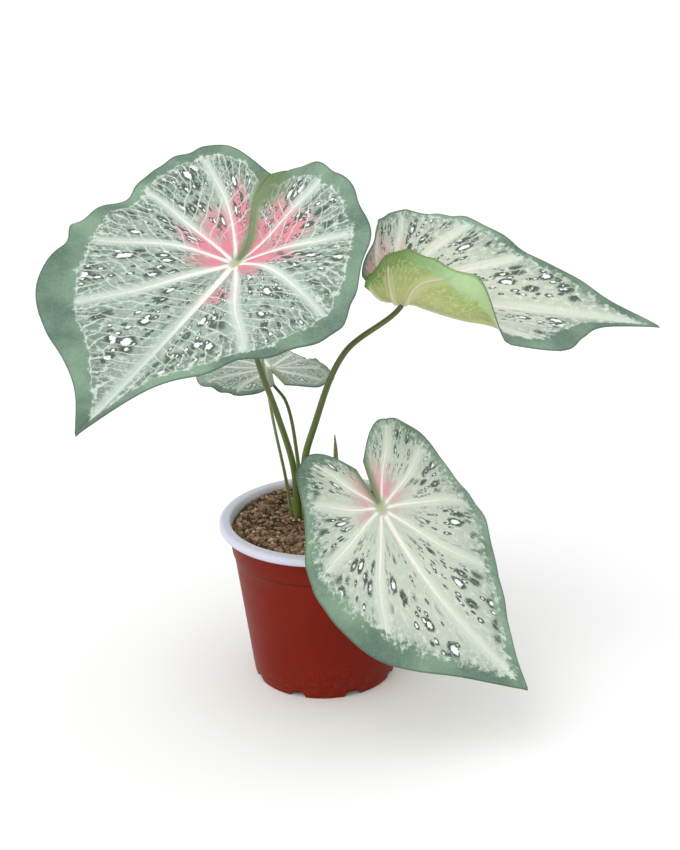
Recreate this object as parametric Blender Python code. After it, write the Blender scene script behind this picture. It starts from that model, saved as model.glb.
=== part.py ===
# Caladium in a nursery pot: four heart-shaped leaves on thin stalks that grow
# from a buried tuber, with two young rolled leaves.
# Metres, +Z up. The origin is the centre of the pot's flat base. +Y is the
# plant's back, so the front leaf hangs over the rim toward -Y.

import bpy
import bmesh
import numpy as np
from math import asin, atan, cos, pi, radians, sin, sqrt
from mathutils import Matrix, Vector

# Driving dimensions of the pot, a standard 12 cm nursery pot
POT_RIM_RADIUS = 0.060
POT_HEIGHT = 0.099
POT_BASE_RADIUS = 0.0422
POT_NECK_RADIUS = 0.0546
POT_WALL = 0.0012
POT_FLOOR = 0.0015
POT_SIDES = 72
LIP_HEIGHT = 0.0055
BAND_HEIGHT = 0.0150
BAND_STEP = 0.0008
NOTCH_COUNT = 8
NOTCH_WIDTH = 0.010
NOTCH_HEIGHT = 0.0042
NOTCH_DEPTH = 0.005

# Driving dimensions of what grows in it
CLEARANCE = 0.0003
SOIL_LEVEL = 0.0922
SOIL_BUMP = 0.0016
SOIL_RINGS = 6
SOIL_SIDES = 36
TUBER_CENTRE = (-0.011, 0.006, 0.060)
TUBER_RADII = (0.022, 0.022, 0.012)
BLADE_THICKNESS = 0.0007
RIB_DEPTH = 0.0014
STALK_GAP = 0.0007
KNOT_RADIUS = 0.006
STALK_SIDES = 10

# A leaf's outline is its distance from the knot, where the stalk joins, at
# these angles from the tip, in degrees. The sides are named as seen from
# above with the tip pointing away.
OUTLINE_ANGLES = (0, 6, 15, 28, 44, 62, 82, 104, 126, 146, 164, 180)
RIB_ANGLES = (0, 37, 76, 112, 148)

# Each leaf: where its knot is, how it is turned (yaw from +Y, dip of the tip,
# roll to the right, in degrees), its outline in millimetres, the slope of
# each half at the midrib (fold, degrees), how each half and the front and
# back of the midrib bend down (curl and arch, radians per metre), how the
# outline sweeps sideways, how wide the notch opens (degrees), how far its
# edges bow sideways, and the waves of the margin. A rolled half turns up past
# the crease.
LEAVES = {
    "left": {
        "knot": (-0.042, -0.023, 0.2585),
        "yaw": 150, "dip": 19.5, "roll": 3.5,
        "outline_left": (152, 125, 112, 103, 102, 94, 83, 76, 79, 82, 77, 66),
        "outline_right": (152, 134, 121, 114, 107, 92, 87, 74, 81, 81, 80, 66),
        "fold": (17, 26.5), "curl": (8.8, 0.3), "arch": (-0.3, -7.3),
        "sweep": (0, -0.28), "notch": 1.5, "bow": 0.0065,
        "wave": 0.0022, "wave_count": 7, "wave_phase": 0.6,
        "roll_up": 0,
    },
    "right": {
        "knot": (0.0485, 0.0, 0.2305),
        "yaw": -96, "dip": 3.5, "roll": 25,
        "outline_left": (144, 114, 98, 80, 71, 66, 64, 60, 57, 50, 38, 27),
        "outline_right": (144, 113, 104, 98, 70, 58, 44, 37, 31, 27, 25, 22),
        "fold": (20, 18), "curl": (4.0, 0.0), "arch": (0.8, -40.0),
        "sweep": (0, 0), "notch": 3, "bow": 0,
        "wave": 0.0024, "wave_count": 7, "wave_phase": 2.0,
        "roll_up": 105,
    },
    "front": {
        "knot": (0.034, -0.0625, 0.130),
        "yaw": -122, "dip": 58, "roll": 9,
        "outline_left": (126, 109, 96, 85, 75, 71, 64, 56, 55, 54, 44, 28),
        "outline_right": (126, 114, 101, 91, 83, 74, 63, 52, 52, 55, 46, 26),
        "fold": (11, -2), "curl": (4.6, 4.3), "arch": (-3.5, -0.5),
        "sweep": (-0.05, 0), "notch": 9, "bow": 0,
        "wave": 0.0018, "wave_count": 6, "wave_phase": 1.2,
        "roll_up": 0,
    },
    "back": {
        "knot": (-0.029, 0.054, 0.172),
        "yaw": 12, "dip": 3, "roll": 0,
        "outline_left": (86, 72, 62, 55, 50, 47, 45, 46, 48, 48, 43, 30),
        "outline_right": (86, 68, 54, 43, 35, 30, 29, 33, 41, 46, 45, 32),
        "fold": (6, 6), "curl": (6, 6), "arch": (4, 3),
        "sweep": (0, 0), "notch": 6, "bow": 0,
        "wave": 0.0015, "wave_count": 5, "wave_phase": 0.0,
        "roll_up": 0,
    },
}

# The right leaf's rolled half: how far from the midrib its crease runs at the
# knot and at the front end of the roll, where along the midrib it unrolls,
# and the width that the bend takes.
CREASE_AT_KNOT = 0.003
CREASE_AT_FRONT = 0.018
ROLL_FRONT = 0.038
ROLL_EASE = 0.022
ROLL_WIDTH = 0.017

# Stalks: where each leaves the soil, the points that it passes, its radius
# at the soil and at the top, and the length over which it meets the blade
# squarely. It ends under the leaf's knot.
STALKS = {
    "left": {
        "foot": (-0.0140, 0.0080),
        "route": ((-0.0152, 0.006, 0.126), (-0.0237, 0.001, 0.163), (-0.033, -0.006, 0.197)),
        "radius": (0.0021, 0.0014), "neck": 0.006,
    },
    "right": {
        "foot": (-0.0090, 0.0065),
        "route": ((-0.0084, 0.002, 0.134), (-0.0033, -0.001, 0.153), (0.0161, -0.003, 0.2005)),
        "radius": (0.0023, 0.0015), "neck": 0.003,
    },
    "front": {
        "foot": (-0.0050, -0.0020),
        "route": ((0.000, -0.014, 0.112), (0.012, -0.032, 0.133), (0.025, -0.050, 0.137)),
        "radius": (0.0020, 0.0014), "neck": 0.006,
    },
    "back": {
        "foot": (-0.0125, 0.0165),
        "route": ((-0.012, 0.018, 0.101), (-0.0138, 0.027, 0.1275), (-0.0198, 0.042, 0.155)),
        "radius": (0.0013, 0.0009), "neck": 0.005,
    },
}

# Young leaves, still rolled: a tall one on its own stalk and a short spike
YOUNG_LEAVES = {
    "young_leaf_tall": {
        "foot": (-0.0180, 0.0125),
        "route": ((-0.0198, 0.0115, 0.114), (-0.0261, 0.006, 0.156), (-0.0304, -0.0015, 0.195),
                  (-0.0331, -0.007, 0.222), (-0.0341, -0.009, 0.236)),
        "radii": (0.0011, 0.0010, 0.0009, 0.0009, 0.0021, 0.0003),
    },
    "young_leaf_short": {
        "foot": (0.0093, 0.0),
        "route": ((0.0093, 0.0, 0.120), (0.0094, 0.0, 0.138), (0.0092, 0.0, 0.1496)),
        "radii": (0.0016, 0.0016, 0.0013, 0.0003),
    },
}

# Colours from the photograph: base colour, roughness
COLOURS = {
    "pot": ((0.205, 0.015, 0.008), 0.45),
    "soil": ((0.085, 0.045, 0.030), 0.95),
    "tuber": ((0.110, 0.060, 0.035), 0.90),
    "stalk": ((0.055, 0.070, 0.022), 0.50),
    "blade": ((0.340, 0.420, 0.350), 0.45),
}


def clear_scene():
    for item in list(bpy.data.objects):
        bpy.data.objects.remove(item, do_unlink=True)


def material(name):
    """The Principled material of one kind of piece."""
    found = bpy.data.materials.get(name)
    if found:
        return found
    colour, roughness = COLOURS[name]
    made = bpy.data.materials.new(name)
    made.use_nodes = True
    shader = made.node_tree.nodes["Principled BSDF"]
    shader.inputs["Base Color"].default_value = (*colour, 1.0)
    shader.inputs["Roughness"].default_value = roughness
    shader.inputs["Metallic"].default_value = 0.0
    return made


def add_object(name, mesh_builder, kind, smooth_angle=40):
    """Turn a bmesh into a named object with its material."""
    mesh = bpy.data.meshes.new(name)
    mesh_builder.to_mesh(mesh)
    mesh_builder.free()
    mesh.shade_smooth()
    mesh.set_sharp_from_angle(angle=radians(smooth_angle))
    made = bpy.data.objects.new(name, mesh)
    made.data.materials.append(material(kind))
    bpy.context.scene.collection.objects.link(made)
    return made


def subtract(target, cutters):
    """Cut each closed mesh out of the target, and hide the cutters."""
    for cutter in cutters:
        cutter.hide_render = True
        cutter.display_type = "WIRE"
        cut = target.modifiers.new("cut " + cutter.name, "BOOLEAN")
        cut.operation = "DIFFERENCE"
        cut.object = cutter


# Smooth curves through a few points
def through_points(knots, values, at):
    """Cubic curve through the values, read at the given places."""
    knots = np.asarray(knots, float)
    values = np.asarray(values, float)
    at = np.asarray(at, float)
    steps = np.diff(knots)
    chords = np.diff(values, axis=0) / steps.reshape((-1,) + (1,) * (values.ndim - 1))
    slopes = np.empty_like(values)
    slopes[0] = chords[0]
    slopes[-1] = chords[-1]
    slopes[1:-1] = (chords[1:] + chords[:-1]) / 2
    index = np.clip(np.searchsorted(knots, at, side="right") - 1, 0, len(steps) - 1)
    step = steps[index]
    t = (at - knots[index]) / step
    if values.ndim > 1:
        t = t[..., None]
        step = step[..., None]
    start = (1 + 2 * t) * (1 - t) ** 2 * values[index]
    start_slope = t * (1 - t) ** 2 * step * slopes[index]
    end = t * t * (3 - 2 * t) * values[index + 1]
    end_slope = t * t * (t - 1) * step * slopes[index + 1]
    return start + start_slope + end + end_slope


def ease(x):
    x = np.clip(x, 0, 1)
    return x * x * (3 - 2 * x)


# Blades
def outline_radius(leaf, turn):
    """Distance from knot to margin at signed angles, in degrees, from the tip."""
    left = 1000 / np.array(leaf["outline_left"], float)
    right = 1000 / np.array(leaf["outline_right"], float)
    sides = [through_points(OUTLINE_ANGLES, side, np.abs(turn)) for side in (left, right)]
    return 1 / np.where(turn > 0, sides[1], sides[0])


def bend(length, rate):
    """Forward and upward travel along an arc that turns down at this rate."""
    rate = rate if abs(rate) > 1e-6 else 1e-6
    return np.sin(rate * length) / rate, (np.cos(rate * length) - 1) / rate


def bow_share(share):
    """How much of the notch's sideways bow: 0 at knot and margin, 1 at two thirds."""
    return 6.75 * share ** 2 * (1 - share)


def roll_share(across, along):
    """How far the right half is rolled: 1 behind the roll's front end, 0 past it."""
    return (1 - ease((along - ROLL_FRONT) / ROLL_EASE)) * (across > 0)


def cross_section(leaf, across, along):
    """Sideways and upward travel over one half of a blade, from the midrib."""
    samples = 24
    right = across > 0
    slope = np.radians(np.where(right, leaf["fold"][1], leaf["fold"][0]))
    curl = np.where(right, leaf["curl"][1], leaf["curl"][0])
    crease = CREASE_AT_KNOT + (CREASE_AT_FRONT - CREASE_AT_KNOT) * ease(along / ROLL_FRONT)
    rolled = radians(leaf["roll_up"]) * roll_share(across, along)
    step = np.abs(across) / samples
    sideways = np.zeros_like(across)
    upward = np.zeros_like(across)
    for sample in range(samples):
        place = (sample + 0.5) * step
        angle = slope - curl * place + rolled * ease((place - crease) / ROLL_WIDTH)
        sideways += np.cos(angle) * step
        upward += np.sin(angle) * step
    return np.where(right, sideways, -sideways), upward


def blade_points(leaf, turn, share):
    """World points of a blade's upper face. The turn runs from -1 to 1 round
    the knot, from notch edge to tip to notch edge, and the share from 0 at
    the knot's ring to 1 at the margin."""
    radius = outline_radius(leaf, 180 * turn)
    reach = KNOT_RADIUS + (radius - KNOT_RADIUS) * share
    notch = np.radians(leaf["notch"]) * (reach - KNOT_RADIUS) / reach
    angle = turn * (pi - notch)
    across = reach * np.sin(angle)
    along = reach * np.cos(angle)
    length = leaf["outline_left"][0] / 1000
    sweep = np.where(along > 0, leaf["sweep"][0], leaf["sweep"][1])
    across = across + sweep * along * np.abs(along) / length
    across = across + leaf["bow"] * bow_share(share) * np.abs(turn) ** 6
    sideways, upward = cross_section(leaf, across, along)
    ripple = leaf["wave"] * share ** 3 * np.sin(leaf["wave_count"] * pi * turn + leaf["wave_phase"])
    upward = upward + ripple * np.abs(np.sin(angle)) ** 0.5
    front = along > 0
    rate = np.where(front, leaf["arch"][0], leaf["arch"][1])
    forward_front, rise_front = bend(np.abs(along), leaf["arch"][0])
    forward_back, rise_back = bend(np.abs(along), leaf["arch"][1])
    forward = np.where(front, forward_front, -forward_back)
    rise = np.where(front, rise_front, rise_back)
    upright = bool(leaf["roll_up"]) * roll_share(across, along)
    lean = rate * along * (1 - upright)
    local = np.stack([sideways, forward + upward * np.sin(lean), rise + upward * np.cos(lean)], -1)
    return local @ leaf_rotation(leaf).T + np.array(leaf["knot"])


def leaf_rotation(leaf):
    yaw = Matrix.Rotation(radians(leaf["yaw"]), 3, "Z")
    dip = Matrix.Rotation(radians(-leaf["dip"]), 3, "X")
    roll = Matrix.Rotation(radians(leaf["roll"]), 3, "Y")
    return np.array(yaw @ dip @ roll)


def sector_turns():
    """Where the radial lines of a blade lie, and how strongly each is a rib."""
    half_rib = 1.6
    between = 4
    turns = [0.0]
    ribs = [1.0]
    for start, end in zip(RIB_ANGLES, RIB_ANGLES[1:] + (180,)):
        last = end - half_rib if end < 180 else end
        for place in np.linspace(start + half_rib, last, between + 1):
            turns.append(float(place))
            ribs.append(0.0)
        if end < 180:
            turns.append(float(end))
            ribs.append(1.0)
    mirrored = [-turn for turn in turns[:0:-1]]
    return np.array(mirrored + turns) / 180, ribs[:0:-1] + ribs


def make_blade(name, leaf):
    """A blade: rings of points round the knot, open at the notch, thickened
    downward, with ribs that stand out underneath."""
    rings = 7
    turns, ribs = sector_turns()
    shares = np.linspace(0, 1, rings + 1)
    grid_turn, grid_share = np.meshgrid(turns, shares)
    points = blade_points(leaf, grid_turn, grid_share)
    builder = bmesh.new()
    layer = builder.verts.layers.deform.verify()
    middle = builder.verts.new(leaf["knot"])
    rows = []
    for ring, row in enumerate(points):
        verts = [builder.verts.new(point) for point in row]
        if ring == 0:
            builder.verts.remove(verts.pop())
            verts.append(verts[0])
        rows.append(verts)
    for column in range(len(turns) - 1):
        builder.faces.new((middle, rows[0][column + 1], rows[0][column]))
        for inner, outer in zip(rows, rows[1:]):
            corners = (inner[column], inner[column + 1], outer[column + 1], outer[column])
            builder.faces.new(corners)
    bmesh.ops.triangulate(builder, faces=builder.faces[:], quad_method="BEAUTY")
    bmesh.ops.recalc_face_normals(builder, faces=builder.faces[:])
    builder.normal_update()
    if middle.normal.dot(Vector(leaf_rotation(leaf)[:, 2])) < 0:
        bmesh.ops.reverse_faces(builder, faces=builder.faces[:])
    middle[layer][0] = 1.0
    for verts, share in zip(rows, shares):
        for vert, rib in zip(verts, ribs):
            vert[layer][0] = rib * (1 - share) ** 0.6
    made = add_object(name, builder, "blade")
    made.vertex_groups.new(name="rib")
    thicken = made.modifiers.new("thickness", "SOLIDIFY")
    thicken.thickness = RIB_DEPTH
    thicken.offset = -1
    thicken.vertex_group = "rib"
    thicken.thickness_vertex_group = BLADE_THICKNESS / RIB_DEPTH
    return made


# Stalks
def tube(builder, path, radii, sides):
    """A closed tube of changing radius along a path."""
    path = [Vector(point) for point in path]
    side = Vector((1, 0, 0))
    rings = []
    for index, point in enumerate(path):
        ahead = path[min(index + 1, len(path) - 1)]
        behind = path[max(index - 1, 0)]
        direction = (ahead - behind).normalized()
        side = (side - direction * side.dot(direction)).normalized()
        other = direction.cross(side)
        ring = []
        for corner in range(sides):
            angle = 2 * pi * corner / sides
            offset = side * cos(angle) + other * sin(angle)
            ring.append(builder.verts.new(point + offset * radii[index]))
        rings.append(ring)
    for lower, upper in zip(rings, rings[1:]):
        for corner in range(sides):
            following = (corner + 1) % sides
            corners = (lower[corner], lower[following], upper[following], upper[corner])
            builder.faces.new(corners)
    builder.faces.new(rings[0][::-1])
    builder.faces.new(rings[-1])


def tuber_top(x, y, radius):
    """Height of the tuber's skin under the edge of a stalk's foot."""
    distance = sqrt((x - TUBER_CENTRE[0]) ** 2 + (y - TUBER_CENTRE[1]) ** 2)
    share = max(distance - radius, 0) / TUBER_RADII[0]
    return TUBER_CENTRE[2] + TUBER_RADII[2] * sqrt(max(1 - share * share, 0))


def stalk_path(foot, route, end, radii, spacing=0.009):
    """Points and radii of a stalk that stands upright in the soil."""
    base = (foot[0], foot[1], tuber_top(foot[0], foot[1], radii[0]) + 2 * CLEARANCE)
    collar = (foot[0], foot[1], SOIL_LEVEL + 0.003)
    points = [collar, *route] + ([end] if end is not None else [])
    lengths = np.cumsum([0] + [(Vector(b) - Vector(a)).length for a, b in zip(points, points[1:])])
    count = max(int(lengths[-1] / spacing), 6)
    places = np.linspace(0, lengths[-1], count)
    smooth = through_points(lengths, points, places)
    if len(radii) == 2:
        widths = np.interp(places, (0, lengths[-1]), radii)
    else:
        widths = np.interp(places, lengths, radii)
    return [base, *smooth.tolist()], [radii[0], *widths.tolist()]


def make_stalk(name, stalk, leaf):
    """A stalk that ends just under its leaf's knot, square to the blade."""
    normal = leaf_rotation(leaf)[:, 2]
    top = np.array(leaf["knot"]) - normal * (RIB_DEPTH + STALK_GAP)
    neck = top - normal * stalk["neck"]
    route = (*stalk["route"], tuple(neck))
    path, radii = stalk_path(stalk["foot"], route, tuple(top), stalk["radius"])
    builder = bmesh.new()
    tube(builder, path, radii, STALK_SIDES)
    return add_object(name, builder, "stalk")


def make_young_leaf(name, young):
    path, radii = stalk_path(young["foot"], young["route"], None, young["radii"], 0.006)
    builder = bmesh.new()
    tube(builder, path, radii, STALK_SIDES)
    return add_object(name, builder, "stalk")


def make_tuber():
    builder = bmesh.new()
    bmesh.ops.create_uvsphere(builder, u_segments=20, v_segments=10, radius=1.0)
    bmesh.ops.scale(builder, vec=TUBER_RADII, verts=builder.verts[:])
    bmesh.ops.translate(builder, vec=TUBER_CENTRE, verts=builder.verts[:])
    return add_object("tuber", builder, "tuber")


# Soil
def make_soil():
    """Soil that fills the pot, with a bumpy top, a plain hole round each stem
    and a hollow round the tuber."""
    builder = bmesh.new()
    low = POT_FLOOR + CLEARANCE
    rows = []
    for ring in range(1, SOIL_RINGS + 1):
        radius = (inner_radius(SOIL_LEVEL) - 2 * CLEARANCE) * ring / SOIL_RINGS
        rows.append([soil_point(radius, 2 * pi * side / SOIL_SIDES) for side in range(SOIL_SIDES)])
    foot_radius = inner_radius(low) - 2 * CLEARANCE
    floor_row = []
    for side in range(SOIL_SIDES):
        angle = 2 * pi * side / SOIL_SIDES
        floor_row.append((foot_radius * cos(angle), foot_radius * sin(angle), low))
    rows.append(floor_row)
    middle = builder.verts.new(soil_point(0, 0))
    verts = [[builder.verts.new(point) for point in row] for row in rows]
    for side in range(SOIL_SIDES):
        following = (side + 1) % SOIL_SIDES
        builder.faces.new((middle, verts[0][side], verts[0][following]))
        for inner, outer in zip(verts, verts[1:]):
            builder.faces.new((inner[side], outer[side], outer[following], inner[following]))
    builder.faces.new(verts[-1][::-1])
    bmesh.ops.triangulate(builder, faces=builder.faces[:])
    soil = add_object("soil", builder, "soil", 60)
    subtract(soil, stem_holes())
    return soil


def soil_point(radius, angle):
    x = radius * cos(angle)
    y = radius * sin(angle)
    bump = sin(260 * x + 1.0) * cos(310 * y) + 0.5 * sin(540 * y + 430 * x)
    edge = min(1.0, 4 * (1 - radius / inner_radius(SOIL_LEVEL)))
    return x, y, SOIL_LEVEL + SOIL_BUMP * bump * edge / 1.5


def stem_holes():
    """Cutters: a round hole for every stem and a hollow for the tuber."""
    cutters = []
    feet = [(stalk["foot"], stalk["radius"][0]) for stalk in STALKS.values()]
    feet += [(young["foot"], young["radii"][0]) for young in YOUNG_LEAVES.values()]
    for number, (foot, radius) in enumerate(feet):
        builder = bmesh.new()
        top = (foot[0], foot[1], SOIL_LEVEL + 0.010)
        bottom = (foot[0], foot[1], tuber_top(*foot, radius) - CLEARANCE)
        wide = radius + 2 * CLEARANCE
        tube(builder, (bottom, top), (wide, wide), STALK_SIDES)
        cutters.append(add_object("stem_hole_%d" % number, builder, "soil"))
    builder = bmesh.new()
    bmesh.ops.create_uvsphere(builder, u_segments=20, v_segments=10, radius=1.0)
    grown = [radius + 2 * CLEARANCE for radius in TUBER_RADII]
    bmesh.ops.scale(builder, vec=grown, verts=builder.verts[:])
    bmesh.ops.translate(builder, vec=TUBER_CENTRE, verts=builder.verts[:])
    cutters.append(add_object("tuber_hollow", builder, "soil"))
    return cutters


# Pot
def outer_radius(height):
    """Radius of the plain tapered wall at a height."""
    return POT_BASE_RADIUS + (POT_NECK_RADIUS - POT_BASE_RADIUS) * height / (POT_HEIGHT - LIP_HEIGHT)


def inner_radius(height):
    return outer_radius(height) - POT_WALL - BAND_STEP


def pot_profile():
    """Half section of the pot, from the middle of the base outward, up the
    wall and lip, and down the inside to the middle of the floor."""
    lip_low = POT_HEIGHT - LIP_HEIGHT
    band_low = lip_low - BAND_HEIGHT
    base_edge = 0.0010
    profile = [(0, 0), (POT_BASE_RADIUS - base_edge, 0), (POT_BASE_RADIUS, base_edge)]
    profile += [(outer_radius(band_low) - BAND_STEP, band_low)]
    profile += [(outer_radius(band_low + BAND_STEP), band_low + BAND_STEP)]
    profile += [(outer_radius(lip_low), lip_low)]
    lip_reach = POT_RIM_RADIUS - outer_radius(lip_low)
    lip_middle = lip_low + LIP_HEIGHT / 2
    for step in range(1, 8):
        angle = -pi / 2 + pi * step / 8
        radius = POT_RIM_RADIUS - lip_reach * (1 - cos(angle)) * 0.45
        profile.append((radius, lip_middle + LIP_HEIGHT / 2 * sin(angle)))
    profile += [(inner_radius(POT_HEIGHT) + 0.0010, POT_HEIGHT)]
    profile += [(inner_radius(POT_HEIGHT) + 0.0001, POT_HEIGHT - 0.0009)]
    profile += [(inner_radius(POT_FLOOR), POT_FLOOR), (0, POT_FLOOR)]
    return profile


def make_pot():
    builder = bmesh.new()
    verts = [builder.verts.new((radius, 0, height)) for radius, height in pot_profile()]
    edges = [builder.edges.new(pair) for pair in zip(verts, verts[1:])]
    bmesh.ops.spin(builder, geom=verts + edges, cent=(0, 0, 0), axis=(0, 0, 1),
                   angle=2 * pi, steps=POT_SIDES, use_merge=True)
    bmesh.ops.remove_doubles(builder, verts=builder.verts[:], dist=1e-5)
    bmesh.ops.recalc_face_normals(builder, faces=builder.faces[:])
    pot = add_object("pot", builder, "pot")
    subtract(pot, drain_notches())
    return pot


def drain_notches():
    """Cutters: the drain openings at the bottom corner of the pot."""
    cutters = []
    for number in range(NOTCH_COUNT):
        turn = 2 * pi * (number + 0.5) / NOTCH_COUNT
        builder = bmesh.new()
        bmesh.ops.create_cone(builder, cap_ends=True, segments=16, radius1=0.5, radius2=0.5, depth=1)
        size = (NOTCH_HEIGHT * 2, NOTCH_WIDTH, NOTCH_DEPTH * 2)
        place = Matrix.Rotation(turn, 4, "Z") @ Matrix.Translation((POT_BASE_RADIUS, 0, 0))
        stretch = Matrix.Diagonal((*size, 1))
        upright = Matrix.Rotation(pi / 2, 4, "Y")
        bmesh.ops.transform(builder, matrix=place @ upright @ stretch, verts=builder.verts[:])
        cutters.append(add_object("drain_notch_%d" % number, builder, "pot"))
    return cutters


def main():
    clear_scene()
    make_pot()
    make_soil()
    make_tuber()
    for name, leaf in LEAVES.items():
        make_blade("blade_" + name, leaf)
        make_stalk("stalk_" + name, STALKS[name], leaf)
    for name, young in YOUNG_LEAVES.items():
        make_young_leaf(name, young)


main()
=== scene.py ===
# %% [markdown]
# # A caladium in its nursery pot
# A caladium grows from a tuber. Each leaf stands on its own thin stalk and is
# a thin sheet with a heart-shaped outline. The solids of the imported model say
# where every stalk, leaf and rim is. This script keeps those places and builds
# finer surfaces on them, because veins, waves and crumbs of soil are too small
# for the solids.

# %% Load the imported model
import random
from functools import partial
from math import cos, pi, radians, sin, sqrt

import bmesh
import bpy
import numpy as np
from mathutils import Matrix, Vector, noise


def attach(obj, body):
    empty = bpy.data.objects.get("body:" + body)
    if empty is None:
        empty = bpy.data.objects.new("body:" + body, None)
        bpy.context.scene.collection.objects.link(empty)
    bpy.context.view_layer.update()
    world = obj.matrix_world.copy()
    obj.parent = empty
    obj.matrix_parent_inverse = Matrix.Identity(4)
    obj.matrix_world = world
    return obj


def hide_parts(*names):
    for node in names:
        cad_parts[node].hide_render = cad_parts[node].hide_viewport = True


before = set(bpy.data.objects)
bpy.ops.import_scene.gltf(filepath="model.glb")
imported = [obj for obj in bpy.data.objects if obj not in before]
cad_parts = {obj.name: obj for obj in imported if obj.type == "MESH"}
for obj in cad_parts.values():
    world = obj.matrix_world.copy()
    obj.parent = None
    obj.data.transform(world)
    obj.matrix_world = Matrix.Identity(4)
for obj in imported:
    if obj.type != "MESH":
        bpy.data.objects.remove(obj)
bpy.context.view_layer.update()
print("solids:", ", ".join(sorted(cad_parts)))

# %% [markdown]
# ## Colours and nodes
# Hex colours are what a colour picker shows, in sRGB. A shader computes with
# linear light, so one function converts them. A second function adds a node
# and hands back one output, so that a shader reads from top to bottom like a
# recipe. It takes the node's kind with its main choice, such as the operation
# of a Math node, then what goes into its inputs, in the order in which the node
# shows them: a number, a hex colour or the output of another node.

# %% Colour and node helpers
def linear(hex_colour):
    """An sRGB hex colour as the linear values that a shader takes."""
    channels = [int(hex_colour[i:i + 2], 16) / 255 for i in (1, 3, 5)]
    return [c / 12.92 if c <= 0.04045 else ((c + 0.055) / 1.055) ** 2.4 for c in channels] + [1]


MAIN_CHOICE = {"Math": "operation", "MapRange": "interpolation_type", "Mix": "data_type",
               "TexVoronoi": "feature"}
TIMES = "Math MULTIPLY"
TIMES_PLUS = "Math MULTIPLY_ADD"   # the first times the second, plus the third
MIX = "Mix RGBA"                   # a share, and the two colours it leads from and to
SMOOTH = "MapRange SMOOTHSTEP"     # a share from 0 to 1 with soft ends, between two values


def add_node(tree, kind, *values, output=None, **named):
    """Add a node, set or link its inputs and settings, return an output."""
    kind, _, choice = kind.partition(" ")
    made = tree.nodes.new("ShaderNode" + kind)
    if choice:
        named[MAIN_CHOICE[kind]] = choice
    for setting in [key for key in named if key not in made.inputs]:
        setattr(made, setting, named.pop(setting))
    shown = [socket for socket in made.inputs if socket.enabled]
    pairs = [*zip(shown, values), *((made.inputs[key], value) for key, value in named.items())]
    for socket, value in pairs:
        if isinstance(value, bpy.types.NodeSocket):
            tree.links.new(value, socket)
        else:
            socket.default_value = linear(value) if isinstance(value, str) else value
    return made.outputs[output] if output else [way for way in made.outputs if way.enabled][0]


def start_material(name, roughness, ior, specular=0.5):
    """A new material, add_node for its tree, and the Object coordinates."""
    made = bpy.data.materials.new(name)
    made.use_nodes = True
    shader = made.node_tree.nodes["Principled BSDF"]
    shader.inputs["Roughness"].default_value = roughness
    shader.inputs["IOR"].default_value = ior
    shader.inputs["Specular IOR Level"].default_value = specular
    add = partial(add_node, made.node_tree)
    return made, add, add("TexCoord", output="Object")


def finish_material(made, colour, rough=None, normal=None):
    """Link what the nodes give to the material's shader."""
    tree = made.node_tree
    for socket, source in (("Base Color", colour), ("Roughness", rough), ("Normal", normal)):
        if source:
            tree.links.new(source, tree.nodes["Principled BSDF"].inputs[socket])
    print("%s: %d nodes" % (made.name, len(tree.nodes)))
    return made


# %% [markdown]
# ## Camera
# The photograph was taken from a little above the rim with a long lens. The
# rim and base ellipses of the pot fix the distance and the tilt, and a long
# lens keeps the leaves from bulging. The camera is placed by its own three
# axes, so that its small sideways lean can be kept.

# %% Camera
FOCAL_PIXELS = 1650
FRAME_HEIGHT = 850
CAMERA_PLACE = Vector((0.01229, -0.88283, 0.49957))
CAMERA_DOWN = radians(21.3)
CAMERA_LEAN = radians(-1.3)

back = Vector((0, -cos(CAMERA_DOWN), sin(CAMERA_DOWN)))
level = Vector((1, 0, 0))
upright = back.cross(level)
right = level * cos(CAMERA_LEAN) + upright * sin(CAMERA_LEAN)
up = back.cross(right)
camera = bpy.data.objects.new("camera", bpy.data.cameras.new("camera"))
camera.data.sensor_width = 36
camera.data.lens = FOCAL_PIXELS * camera.data.sensor_width / FRAME_HEIGHT
axes = Matrix((right, up, back)).transposed().to_4x4()
camera.matrix_world = Matrix.Translation(CAMERA_PLACE) @ axes
bpy.context.scene.collection.objects.link(camera)
bpy.context.scene.camera = camera
print("camera: %.1f mm lens, %.0f mm above the pot's base"
      % (camera.data.lens, 1000 * CAMERA_PLACE.z))

# %% [markdown]
# ## Floor and light
# The plant stands on a plain pale floor in soft studio light. A white world
# fills the shadows. One lamp from the upper left and the front, which is a sun
# with a very wide disc, gives the leaves their shape and lights the whole floor
# evenly. The standard view transform keeps the leaf colours as they are mixed.

# %% Floor and light
FLOOR_REACH = 40.0
WORLD_STRENGTH = 1.0
KEY_STRENGTH = 1.0
KEY_WIDTH = radians(50)
KEY_DIRECTION = Vector((0.6, 0.55, -1))


def to_object(name, shape):
    """Turn a finished bmesh into an object of the scene."""
    made = bpy.data.objects.new(name, bpy.data.meshes.new(name))
    shape.to_mesh(made.data)
    shape.free()
    scene.collection.objects.link(made)
    return made


scene = bpy.context.scene
scene.view_settings.view_transform = "Standard"
world = bpy.data.worlds.new("studio")
world.use_nodes = True
sky = world.node_tree.nodes["Background"].inputs
sky["Color"].default_value = linear("#FCFDFF")
sky["Strength"].default_value = WORLD_STRENGTH
scene.world = world

key = bpy.data.lights.new("key", "SUN")
key.energy = KEY_STRENGTH
key.angle = KEY_WIDTH
lamp = bpy.data.objects.new("key", key)
lamp.matrix_world = KEY_DIRECTION.to_track_quat("-Z", "Y").to_matrix().to_4x4()
scene.collection.objects.link(lamp)

disc = bmesh.new()
bmesh.ops.create_circle(disc, cap_ends=True, segments=96, radius=FLOOR_REACH)
floor = to_object("floor", disc)
paper, add, here = start_material("matt white paper", 0.9, 1.5)
grain = add("TexNoise", here, 900.0, 3.0)
finish_material(paper, add(MIX, grain, "#F4F4F3", "#F8F8F7"))
floor.data.materials.append(paper)

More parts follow.
